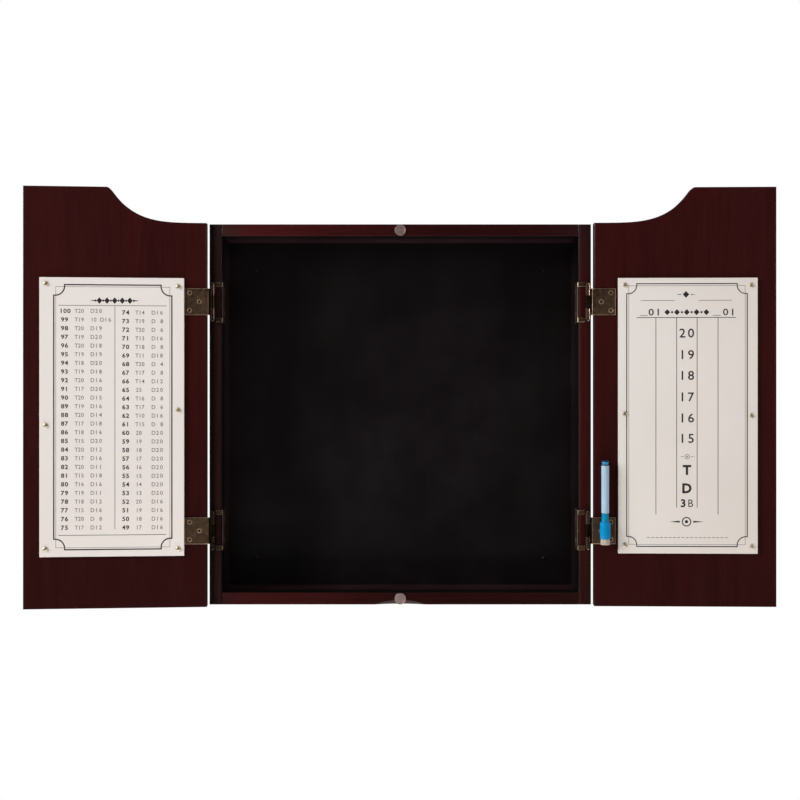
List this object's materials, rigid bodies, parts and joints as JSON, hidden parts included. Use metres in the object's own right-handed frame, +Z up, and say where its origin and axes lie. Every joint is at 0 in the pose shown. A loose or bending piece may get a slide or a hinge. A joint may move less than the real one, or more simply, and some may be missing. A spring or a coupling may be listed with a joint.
{
  "type": "dart board cabinet",
  "caption": "Shallow square wooden wall cabinet for a dart board, with hinged scalloped doors that carry a checkout chart, a scoring panel and a magnetic-cap marker.",
  "frame": {"origin": "middle of the box's back, on the wall", "axes": "+Z up, +X to the right of a person facing the cabinet, +Y into the wall, so the cabinet faces -Y"},
  "size_m": [1.0663, 0.098, 0.5974],
  "materials": {
    "mahogany_wood": "satin stained mahogany",
    "black_board": "matte black painted board",
    "magnet": "satin",
    "hinge_bronze": "antique bronze",
    "hinge_screw": "antique brass",
    "brass_screw": "satin",
    "white_panel": "dry-wipe laminate",
    "marker_barrel": "gloss",
    "marker_cap": "gloss",
    "marker_plug": "gloss",
    "marker_felt": "felt"
  },
  "bodies": {
    "cabinet": {"left_side_board": "mahogany_wood", "right_side_board": "mahogany_wood", "top_board": "mahogany_wood", "bottom_board": "mahogany_wood", "back_panel": "black_board", "catch_magnet_top": "magnet", "catch_magnet_bottom": "magnet", "upper_left_hinge_frame_leaf": "hinge_bronze", "upper_left_hinge_pin": "hinge_bronze", "upper_left_hinge_frame_screw_1": "hinge_screw", "upper_left_hinge_frame_screw_2": "hinge_screw", "upper_right_hinge_frame_leaf": "hinge_bronze", "upper_right_hinge_pin": "hinge_bronze", "upper_right_hinge_frame_screw_1": "hinge_screw", "upper_right_hinge_frame_screw_2": "hinge_screw", "lower_left_hinge_frame_leaf": "hinge_bronze", "lower_left_hinge_pin": "hinge_bronze", "lower_left_hinge_frame_screw_1": "hinge_screw", "lower_left_hinge_frame_screw_2": "hinge_screw", "lower_right_hinge_frame_leaf": "hinge_bronze", "lower_right_hinge_pin": "hinge_bronze", "lower_right_hinge_frame_screw_1": "hinge_screw", "lower_right_hinge_frame_screw_2": "hinge_screw"},
    "left_door": {"left_door": "mahogany_wood", "chart_panel": "white_panel", "chart_panel_screw_1": "brass_screw", "chart_panel_screw_2": "brass_screw", "chart_panel_screw_3": "brass_screw", "chart_panel_screw_4": "brass_screw", "chart_panel_screw_5": "brass_screw", "chart_panel_screw_6": "brass_screw", "upper_left_hinge_door_leaf": "hinge_bronze", "upper_left_hinge_door_screw_1": "hinge_screw", "upper_left_hinge_door_screw_2": "hinge_screw", "upper_left_hinge_door_screw_3": "hinge_screw", "lower_left_hinge_door_leaf": "hinge_bronze", "lower_left_hinge_door_screw_1": "hinge_screw", "lower_left_hinge_door_screw_2": "hinge_screw", "lower_left_hinge_door_screw_3": "hinge_screw"},
    "right_door": {"right_door": "mahogany_wood", "score_panel": "white_panel", "score_panel_screw_1": "brass_screw", "score_panel_screw_2": "brass_screw", "score_panel_screw_3": "brass_screw", "score_panel_screw_4": "brass_screw", "score_panel_screw_5": "brass_screw", "score_panel_screw_6": "brass_screw", "upper_right_hinge_door_leaf": "hinge_bronze", "upper_right_hinge_door_screw_1": "hinge_screw", "upper_right_hinge_door_screw_2": "hinge_screw", "upper_right_hinge_door_screw_3": "hinge_screw", "lower_right_hinge_door_leaf": "hinge_bronze", "lower_right_hinge_door_screw_1": "hinge_screw", "lower_right_hinge_door_screw_2": "hinge_screw", "lower_right_hinge_door_screw_3": "hinge_screw"},
    "marker_cap": {"marker_cap": "marker_cap", "marker_eraser": "marker_felt"},
    "marker_pen": {"marker_barrel": "marker_barrel", "marker_nib": "marker_felt", "marker_end_plug": "marker_plug"}
  },
  "joints": [
    {"name": "left_door_hinge", "type": "hinge", "parent": "cabinet", "child": "left_door", "pos_m": [-0.2678, -0.0748, 0], "axis": [0, 0, 1], "range_deg": [-9, 176]},
    {"name": "right_door_hinge", "type": "hinge", "parent": "cabinet", "child": "right_door", "pos_m": [0.2678, -0.0748, 0], "axis": [0, 0, -1], "range_deg": [-6.3, 178.7]},
    {"name": "marker_pull", "type": "slide", "parent": "right_door", "child": "marker_cap", "axis": [-0.0227, -0.9997, 0], "range_m": [0, 0.04]},
    {"name": "marker_uncap", "type": "slide", "parent": "marker_cap", "child": "marker_pen", "axis": [0, 0, 1], "range_m": [0, 0.024]}
  ]
}
